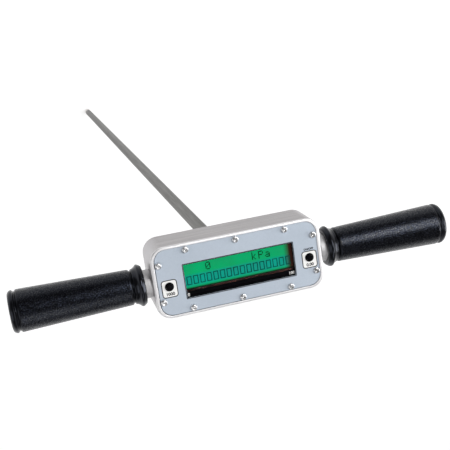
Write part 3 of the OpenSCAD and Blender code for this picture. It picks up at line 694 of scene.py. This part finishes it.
def lettering(name, text, height, weight, place, material):
    """Printed characters of a height, made bolder by a weight and centred on a place, as a thin mesh."""
    capital_share = 0.69
    curve = bpy.data.curves.new(name, "FONT")
    curve.body = text
    curve.align_x = "CENTER"
    curve.align_y = "CENTER"
    curve.size = height / capital_share
    curve.offset = weight
    curve.extrude = ink / 2
    curve.resolution_u = 4
    holder = bpy.data.objects.new(name, curve)
    bpy.context.scene.collection.objects.link(holder)
    bpy.context.view_layer.update()
    flat = bpy.data.meshes.new_from_object(holder.evaluated_get(bpy.context.evaluated_depsgraph_get()))
    bpy.data.objects.remove(holder)
    flat.transform(Matrix.Translation(Vector(place) + Vector((0, 0, ink / 2))))
    bm = bmesh.new()
    bm.from_mesh(flat)
    bpy.data.meshes.remove(flat)
    return make_piece(name, bm, material)


digit_high, digit_weight = 2.6 * mm, 0.1 * mm
start_x, end_x, digit_y = -46.8 * mm, 47.2 * mm, -15.0 * mm
for name, text, text_x in (("scale_start", "0", start_x), ("scale_end", "100", end_x)):
    digit_place = (text_x, digit_y, strip_z + ink)
    digits = lettering(name, text, digit_high, digit_weight, digit_place, white_ink)
    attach(digits, "frame")

# Gasket: a sheet of black rubber cut to the plate's outline, pressed between the plate and the ledge.
# Only its edge shows, as the dark line round the plate.
gasket_rubber = marked_finish(
    "gasket_rubber", pale=(34, 34, 36), dark=(24, 24, 26), smooth=0.6, rough=0.75,
    grain=(900, 900, 900), depth=0.02 * mm,
)
dress(gasket_rubber, "plate_gasket")

# Front plate: a sheet of aluminium with pale blue-grey paint, cut for the pane, the screws and switches.
# It lies in the recess, a little to the right of its middle, and its cut edges have a small chamfer.
plate_paint = marked_finish(
    "plate_paint", pale=(183, 193, 205), dark=(176, 186, 198), smooth=0.42, rough=0.5,
    grain=(800, 800, 800), depth=0.003 * mm, Specular_IOR_Level=0.3,
)
plate_low, plate_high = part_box("front_plate")
plate_corner = 10.55 * mm
plate_edge = 0.2 * mm
plate_play, plate_shift = 0.4 * mm, 0.1 * mm
screw_hole_r = 1.8 * mm
switch_hole_r = 3.45 * mm
window_corner = 0.3 * mm
screw_hole_steps, switch_hole_steps = 24, 32
screw_pitch, screw_inset, end_screw_drop = 44.5 * mm, 3.2 * mm, 12.95 * mm
side_screw_y = plate_high.y - screw_inset
end_screw_x, end_screw_y = plate_high.x - screw_inset, plate_high.y - end_screw_drop
screw_places = [(x * screw_pitch, y * side_screw_y) for x in (-1, 0, 1) for y in (-1, 1)]
screw_places += [(x * end_screw_x, y * end_screw_y) for x in (-1, 1) for y in (-1, 1)]
button_places = {}
for side in ("left", "right"):
    low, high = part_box(side + "_button")
    button_places[side] = (low + high) / 2
bm = bmesh.new()
top_loops, bottom_loops = [], []
levels = ((plate_high.z, plate_edge), (plate_high.z - plate_edge, 0.0), (plate_low.z, 0.0))


def wall_of(loops):
    """Joins the loops of one cut edge and keeps its top and bottom for the flat faces."""
    for upper, lower in zip(loops, loops[1:]):
        bmesh.ops.bridge_loops(bm, edges=upper + lower)
    top_loops.extend(loops[0])
    bottom_loops.extend(loops[-1])


wall_of([
    panel_loop(
        bm, (plate_low.x + plate_play + step, plate_low.y + step),
        (plate_high.x + plate_shift - step, plate_high.y - step), plate_corner - step, z,
    )
    for z, step in levels
])
wall_of([
    panel_loop(
        bm, (window_left - step, window_low - step), (window_right + step, window_top + step),
        window_corner, z,
    )
    for z, step in levels
])
for x, y in screw_places:
    wall_of([round_loop(bm, screw_hole_r + step, (x, y, z), screw_hole_steps) for z, step in levels])
for spot in button_places.values():
    wall_of([
        round_loop(bm, switch_hole_r + step, (spot.x, spot.y, z), switch_hole_steps) for z, step in levels
    ])
for loops in (top_loops, bottom_loops):
    bmesh.ops.triangle_fill(bm, use_beauty=True, edges=loops)
front_plate = make_piece("front_plate_painted", bm, plate_paint)
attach(front_plate, "frame")
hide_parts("front_plate")

# Print on the plate: a thin black line round the opening, and a white pad with a dark line at each button.
# The marks are plain numbers on the pads and ON/OFF above the right one; black foam lines the opening.
border = 0.6 * mm
pad_wide, pad_high = 12.5 * mm, 14.4 * mm
pad_corner = 2.0 * mm
pad_drop = 1.85 * mm
pad_line = 0.75 * mm
print_z = plate_high.z


def frame_print(name, low, high, corner, width, z, rise, material):
    """A printed line round the outside of a rectangle."""
    bm = bmesh.new()
    add_frame(bm, low, high, corner, width, z, rise)
    return make_piece(name, bm, material)


window_line = frame_print(
    "window_line", (window_left - plate_edge, window_low - plate_edge),
    (window_right + plate_edge, window_top + plate_edge), window_corner, border, print_z, ink, black_ink,
)
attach(window_line, "frame")
lining = 0.35 * mm
lining_gap = 0.02 * mm
lining_step = lining + lining_gap
lining_high = plate_high.z - pane_high.z - lining_gap - plate_edge
window_lining = frame_print(
    "window_lining", (window_left + lining_step, window_low + lining_step),
    (window_right - lining_step, window_top - lining_step), 0, lining, pane_high.z + lining_gap,
    lining_high, black_ink,
)
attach(window_lining, "frame")
for side, spot in button_places.items():
    low = (spot.x - pad_wide / 2, spot.y - pad_drop - pad_high / 2)
    high = (spot.x + pad_wide / 2, spot.y - pad_drop + pad_high / 2)
    pad = pad_print(side + "_pad", low, high, pad_corner, print_z, white_ink)
    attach(pad, "frame")
    outline = frame_print(side + "_pad_line", low, high, pad_corner, pad_line, print_z, ink, black_ink)
    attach(outline, "frame")
number_rise, switch_rise = 2.3 * mm, 1.6 * mm
number_high, switch_word_high = 2.7 * mm, 1.7 * mm
number_weight, switch_word_weight = 0.12 * mm, 0.1 * mm
mark_y = button_places["left"].y - pad_drop - pad_high / 2 + number_rise
switch_y = button_places["right"].y - pad_drop + pad_high / 2 + pad_line + switch_rise
for name, side, word, height, weight, y, rise in (
    ("left_pad_number", "left", "1000", number_high, number_weight, mark_y, ink),
    ("right_pad_number", "right", "0.00", number_high, number_weight, mark_y, ink),
    ("right_pad_switch", "right", "ON/OFF", switch_word_high, switch_word_weight, switch_y, 0),
):
    mark = lettering(name, word, height, weight, (button_places[side].x, y, print_z + rise), black_ink)
    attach(mark, "frame")

# Cover screws: ten bright steel button-head screws with hexagon sockets, through the plate into the ledge.
# Their domes are polished and stand on the painted plate.
bright_steel = marked_finish(
    "bright_steel", pale=(232, 232, 233), dark=(214, 214, 215), smooth=0.26, rough=0.34,
    grain=(900, 900, 900), depth=0.003 * mm, Metallic=1.0,
)
screw_low, screw_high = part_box("cover_screws")
head_r = 2.9 * mm
head_top = screw_high.z
thread_r = 1.5 * mm
foot_edge, dome_round = 0.05 * mm, 1.25 * mm
socket_flat = 0.95 * mm
socket_deep, drill_point = 1.1 * mm, 0.3 * mm
socket_floor = head_top - socket_deep
socket_round = socket_flat / cos(pi / 6)
turn_step = 17
one_screw = turned(
    [
        (0, screw_low.z, 0), (thread_r, screw_low.z, fine_round), (thread_r, plate_high.z, 0),
        (head_r, plate_high.z, foot_edge), (head_r, head_top, dome_round), (socket_round, head_top, 0),
        (socket_round, socket_floor, 0), (0, socket_floor - drill_point, 0),
    ],
    steps=48, round_steps=8,
)
for vert in one_screw.verts:
    if vert.co.z > socket_floor - weld and vert.co.xy.length < socket_round + weld:
        turn = atan2(vert.co.y, vert.co.x) % (pi / 3) - pi / 6
        vert.co.xy *= socket_flat / cos(turn) / socket_round
bmesh.ops.remove_doubles(one_screw, verts=one_screw.verts[:], dist=weld)
first_screw = one_screw.verts[:] + one_screw.edges[:] + one_screw.faces[:]
for index, (x, y) in enumerate(screw_places):
    verts = only_verts(bmesh.ops.duplicate(one_screw, geom=first_screw)["geom"])
    spin_turn = Matrix.Rotation(radians(turn_step * index), 3, "Z")
    bmesh.ops.rotate(one_screw, verts=verts, cent=(0, 0, 0), matrix=spin_turn)
    bmesh.ops.translate(one_screw, vec=(x, y, 0), verts=verts)
bmesh.ops.delete(one_screw, geom=only_verts(first_screw), context="VERTS")
screws = make_piece("cover_screws_turned", one_screw, bright_steel)
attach(screws, "frame")
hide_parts("cover_screws")

# Switches: a black moulded body behind each end of the plate, with a low ring on the front.
# A nut clamps each one, and the round button slides in it on a thinner root.
black_plastic = marked_finish(
    "black_plastic", pale=(12, 12, 15), dark=(7, 7, 9), smooth=0.28, rough=0.38,
    grain=(1600, 1600, 1600), depth=0.006 * mm, Specular_IOR_Level=0.06,
)
switch_low, switch_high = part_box("switch_bodies")
nut_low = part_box("switch_nuts")[0].z
ring_r, switch_neck_r, barrel_r = 3.9 * mm, 3.4 * mm, 4.3 * mm
ring_round, mouth_edge = 0.45 * mm, 0.15 * mm
bore_drop, blind_floor, stroke_room = 1.1 * mm, 1.2 * mm, 0.9 * mm
button_low, button_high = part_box("left_button")
button_r = (button_high.x - button_low.x) / 2
slide_gap = 0.08 * mm
button_hole = button_r + slide_gap
root_share, dish_share = 0.7, 0.66
root_r = root_share * button_r
root_hole = root_r + slide_gap
bore_low = plate_low.z - bore_drop
blind_low = switch_low.z + blind_floor
one_switch = turned(
    [
        (0, switch_low.z, 0), (barrel_r, switch_low.z, fine_round), (barrel_r, nut_low, 0),
        (switch_neck_r, nut_low, 0), (switch_neck_r, plate_high.z, 0), (ring_r, plate_high.z, foot_edge),
        (ring_r, switch_high.z, ring_round), (button_hole, switch_high.z, mouth_edge),
        (button_hole, bore_low, 0), (root_hole, bore_low, 0), (root_hole, blind_low, 0), (0, blind_low, 0),
    ],
    steps=64,
)
first_switch = one_switch.verts[:] + one_switch.edges[:] + one_switch.faces[:]
copy = bmesh.ops.duplicate(one_switch, geom=first_switch)["geom"]
for part, side in ((first_switch, "left"), (copy, "right")):
    spot = button_places[side]
    bmesh.ops.translate(one_switch, vec=(spot.x, spot.y, 0), verts=only_verts(part))
switches = make_piece("switch_bodies_moulded", one_switch, black_plastic)
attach(switches, "frame")
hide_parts("switch_bodies")
shoulder = bore_low + stroke_room
dish_deep, dish_r = 0.25 * mm, dish_share * button_r
root_round, shoulder_round = 0.2 * mm, 0.1 * mm
button_outline = [
    (0, button_low.z, 0), (root_r, button_low.z, root_round), (root_r, shoulder, 0),
    (button_r, shoulder, shoulder_round), (button_r, button_high.z, soft_round),
    (dish_r, button_high.z, fine_round), (0, button_high.z - dish_deep, 0),
]
for side, spot in button_places.items():
    bm = turned(button_outline, steps=64)
    bmesh.ops.translate(bm, vec=(spot.x, spot.y, 0), verts=bm.verts[:])
    button = make_piece(side + "_button_moulded", bm, black_plastic)
    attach(button, side + "_key")
    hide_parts(side + "_button")

# Handle bars: a bright turned stub between the housing and each grip, on a thinner core inside the grip.
# A fine groove shows where each stub meets the housing, and a hidden stud screws the two together.
bar_low, bar_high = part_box("right_handle_bar")
handle_middle = (bar_low + bar_high) / 2


def lay_along_handle(bm, side):
    """Turns a shape that was spun upright to point along the handle, to the left (-1) or right (1)."""
    bmesh.ops.rotate(bm, verts=bm.verts[:], cent=(0, 0, 0), matrix=Matrix.Rotation(side * pi / 2, 3, "Y"))
    bmesh.ops.translate(bm, vec=(0, handle_middle.y, handle_middle.z), verts=bm.verts[:])
    return bm


bright_aluminium = marked_finish(
    "bright_aluminium", pale=(214, 213, 214), dark=(196, 195, 196), smooth=0.6, rough=0.68,
    grain=(4000, 60, 60), depth=0.002 * mm, Metallic=1.0,
)
stub_start = housing_high.x
stub_r = (bar_high.z - bar_low.z) / 2
grip_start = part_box("right_grip")[0].x
core_r = 10 * mm
core_end = bar_high.x
groove = 0.8 * mm
groove_r, groove_end = stub_r - groove, stub_start + groove
stub_round, core_round = 0.15 * mm, 0.5 * mm
stud_bore_r, stud_bore_deep = 4.05 * mm, 20.1 * mm
stud_bore_end = stub_start + stud_bore_deep
bar_outline = [
    (stud_bore_r, stub_start, 0), (groove_r, stub_start, 0), (groove_r, groove_end, 0),
    (stub_r, groove_end, stub_round), (stub_r, grip_start, stub_round), (core_r, grip_start, 0),
    (core_r, core_end, core_round), (0, core_end, 0), (0, stud_bore_end, 0),
    (stud_bore_r, stud_bore_end, 0),
]
for side, name in ((-1, "left"), (1, "right")):
    bm = lay_along_handle(turned(bar_outline), side)
    bar = make_piece(name + "_handle_bar_turned", bm, bright_aluminium)
    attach(bar, "frame")
    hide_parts(name + "_handle_bar")

# Grips: black moulded rubber sleeves, pushed over the bars, with a leather grain between their grooves.
# Each has a thick smooth flange at the housing, a body that widens outwards, and a round closed end.
# The grain is of small pebbles, use has polished their tops, and painted shade darkens the creases between
# them.
grip_low, grip_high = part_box("right_grip")
crest_r = (grip_high.z - grip_low.z) / 2
bore_r = core_r + thread_gap
bore_end = core_end + rest_gap
inner_r, outer_r = 15.6 * mm, 18.5 * mm
crest_x = grip_start + 3.7 * mm
crest_half = 0.75 * mm
flange_foot_r = crest_r - 3.1 * mm
flange_face_r = crest_r - 2.0 * mm
flare_x, flare_r = crest_x + 3.3 * mm, crest_r - 2.7 * mm
flange_end = grip_start + 9.3 * mm
inner_groove, outer_groove = 2.4 * mm, 3.4 * mm
groove_deep = 1.9 * mm
lip_wide = 4.2 * mm
face_round, crest_round, flare_round, end_round = 0.9 * mm, 0.7 * mm, 1.8 * mm, 3.9 * mm
inner_edge, outer_edge, lip_edge = 0.6 * mm, 0.7 * mm, 0.15 * mm
inner_floor_round, outer_floor_round = 0.5 * mm, 0.8 * mm
body_start = flange_end + inner_groove
lip_start = grip_high.x - lip_wide
body_end = lip_start - outer_groove

grain_cells, wander_cells, patch_cells = 600.0, 820.0, 160.0
wander_reach, swell_share = 0.7 * mm, 0.3
grain_deep, grain_fade = 0.3 * mm, 1.5 * mm
crease_wide, polish_fade, rubber_roughness = 0.3, (0.02, 0.22), (0.16, 0.22)
wear_fade, least_wear, smooth_coat = (0.36, 0.6), 0.3, 0.4
grip_rubber, tree, place = new_material("grip_rubber")
along = add_node(tree, "ShaderNodeSeparateXYZ", {"Vector": place}).outputs["X"]
reach = add_node(tree, "ShaderNodeMath", {0: along}, operation="ABSOLUTE").outputs["Value"]
on_body = between(tree, reach, body_start, body_start + grain_fade, body_end - grain_fade, body_end)
wander = add_node(
    tree, "ShaderNodeTexNoise", {"Vector": place, "Scale": wander_cells, "Detail": 1.0}
).outputs
shift = add_node(
    tree, "ShaderNodeVectorMath", {0: wander["Color"], "Scale": wander_reach}, operation="SCALE"
).outputs["Vector"]
bent = add_node(tree, "ShaderNodeVectorMath", {0: place, 1: shift}, operation="ADD").outputs["Vector"]
pebble = add_node(
    tree, "ShaderNodeTexVoronoi", {"Vector": bent, "Scale": grain_cells}, feature="DISTANCE_TO_EDGE"
).outputs["Distance"]
# The crease mask shapes the pebbles' relief, and also paints shade into the base colour of the creases.
crease_relief_and_shade = ramp(tree, pebble, 0.0, crease_wide)
swell = add_node(
    tree, "ShaderNodeMath", {0: crease_relief_and_shade, 1: swell_share, 2: wander["Fac"]}, operation="MULTIPLY_ADD"
).outputs["Value"]
raised = combine(tree, "MULTIPLY", swell, on_body)
patch = noise(tree, place, patch_cells, 3.0)
polished = ramp(tree, pebble, *polish_fade)
worn = combine(tree, "MULTIPLY", polished, ramp(tree, wander["Fac"], *wear_fade, least_wear, 1.0))
relief = add_node(tree, "ShaderNodeBump", {"Height": raised, "Distance": grain_deep}).outputs["Normal"]
close_material(
    tree,
    {
        "Base Color": blend_colours(tree, crease_relief_and_shade, colour(4, 4, 6), colour(9, 9, 11)),
        "Roughness": ramp(tree, patch, 0.3, 0.7, *rubber_roughness), "Normal": relief,
        "Specular IOR Level": 0.2, "Specular Tint": colour(200, 216, 255),
        "Coat Weight": ramp(tree, on_body, 0.0, 1.0, smooth_coat, worn),
        "Coat Roughness": 0.28, "Coat IOR": 1.38,
    },
)
grip_outline = [
    (bore_r, grip_start, 0), (flange_face_r, grip_start, face_round),
    (crest_r, crest_x - crest_half, crest_round), (crest_r, crest_x + crest_half, crest_round),
    (flare_r, flare_x, flare_round), (flange_foot_r, flange_end, inner_edge),
    (inner_r - groove_deep, flange_end + inner_groove / 2, inner_floor_round),
    (inner_r, body_start, inner_edge), (outer_r, body_end, outer_edge),
    (outer_r - groove_deep, body_end + outer_groove / 2, outer_floor_round),
    (outer_r, lip_start, lip_edge), (outer_r, grip_high.x, end_round), (0, grip_high.x, 0),
    (0, bore_end, 0), (bore_r, bore_end, 0),
]
for side, name in ((-1, "left"), (1, "right")):
    bm = lay_along_handle(turned(grip_outline, steps=128, round_steps=6), side)
    grip = make_piece(name + "_grip_moulded", bm, grip_rubber)
    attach(grip, "frame")
    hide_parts(name + "_grip")

# Studio: a pale floor under the tip, a white backdrop all round and a dim ceiling, with four soft lamps.
# Floor and backdrop show white to the camera and in reflections, and light the object as grey ones do.
floor_half = 6.0
floor_pale = colour(232, 232, 232)
floor_lift = 0.66
floor_cells, floor_roughness = 2.0, (0.85, 0.95)
lit_reach, white_reach = 1.2, 4.0
ceiling_light = 0.1
backdrop_top, ceiling_start = 0.02, 0.2

studio_floor, tree, place = new_material("studio_floor")
cloud = noise(tree, place, floor_cells)
matt = add_node(
    tree,
    "ShaderNodeBsdfPrincipled",
    {
        "Base Color": floor_pale, "Roughness": ramp(tree, cloud, 0.0, 1.0, *floor_roughness),
        "Specular IOR Level": 0.0,
    },
).outputs["BSDF"]
from_middle = add_node(tree, "ShaderNodeVectorMath", {0: place}, operation="LENGTH").outputs["Value"]
lift = ramp(tree, from_middle, lit_reach, white_reach, floor_lift, 1.0)
path = add_node(tree, "ShaderNodeLightPath").outputs
mirrored = combine(tree, "MAXIMUM", path["Is Glossy Ray"], path["Is Transmission Ray"])
seen = combine(tree, "MAXIMUM", mirrored, path["Is Camera Ray"])
glow = combine(tree, "MULTIPLY", seen, lift)
bright = add_node(tree, "ShaderNodeEmission", {"Color": white, "Strength": glow}).outputs["Emission"]
sum_of_both = add_node(tree, "ShaderNodeAddShader", {0: matt, 1: bright}).outputs["Shader"]
add_node(tree, "ShaderNodeOutputMaterial", {"Surface": sum_of_both})
bm = bmesh.new()
bmesh.ops.create_grid(bm, x_segments=1, y_segments=1, size=floor_half)
floor = make_piece("studio_floor", bm, studio_floor)

scene = bpy.context.scene
world = bpy.data.worlds.new("studio_surround")
scene.world = world
world.use_nodes = True
world.node_tree.nodes.clear()
tree = world.node_tree
look = add_node(tree, "ShaderNodeTexCoord").outputs["Generated"]
height = add_node(tree, "ShaderNodeSeparateXYZ", {"Vector": look}).outputs["Z"]
backdrop = ramp(tree, height, backdrop_top, ceiling_start, 1.0, ceiling_light)
path = add_node(tree, "ShaderNodeLightPath").outputs
mirrored = combine(tree, "MAXIMUM", path["Is Glossy Ray"], path["Is Transmission Ray"])
mirrored_light = combine(tree, "MULTIPLY", mirrored, backdrop)
shown = combine(tree, "MAXIMUM", mirrored_light, path["Is Camera Ray"])
strength = combine(tree, "MAXIMUM", shown, ceiling_light)
surround = add_node(tree, "ShaderNodeBackground", {"Color": white, "Strength": strength})
add_node(tree, "ShaderNodeOutputWorld", {"Surface": surround.outputs["Background"]})

display_centre = Vector((0, 0, housing_high.z))


def soft_lamp(name, direction, distance, wide, high, radiance):
    """A flat lamp, wide along the handle, that faces the display from a direction, with its brightness."""
    facing = Vector(direction).normalized()
    across = (Vector((1, 0, 0)) - facing.x * facing).normalized()
    data = bpy.data.lights.new(name, "AREA")
    data.shape = "RECTANGLE"
    data.size = wide
    data.size_y = high
    data.energy = radiance * pi * wide * high
    lamp = bpy.data.objects.new(name, data)
    lamp.location = display_centre + distance * facing
    lamp.rotation_euler = Matrix((across, facing.cross(across), facing)).transposed().to_euler()
    lamp.visible_camera = False
    scene.collection.objects.link(lamp)


soft_lamp("key_lamp", (0.47, 0.38, 0.8), distance=1.5, wide=0.6, high=0.75, radiance=11.0)
soft_lamp("fill_lamp", (-0.1, -0.62, 0.78), distance=1.6, wide=0.6, high=1.2, radiance=2.8)
soft_lamp("side_lamp", (0.92, -0.12, 0.34), distance=1.6, wide=0.7, high=1.0, radiance=6.5)
soft_lamp("left_lamp", (-0.86, -0.1, 0.5), distance=1.6, wide=0.8, high=1.0, radiance=1.8)

camera_place = (-157.426, 232.778, 2137.797)
camera_degrees = (-13.02793, -13.96428, -8.14489)
camera_data = bpy.data.cameras.new("camera")
camera_data.lens = 70.105
camera_data.sensor_width = 36
camera_data.clip_start = 0.01
camera = bpy.data.objects.new("camera", camera_data)
camera.location = Vector(camera_place) * mm
camera.rotation_euler = Euler([radians(angle) for angle in camera_degrees])
scene.collection.objects.link(camera)
scene.camera = camera
scene.view_settings.view_transform = "Standard"
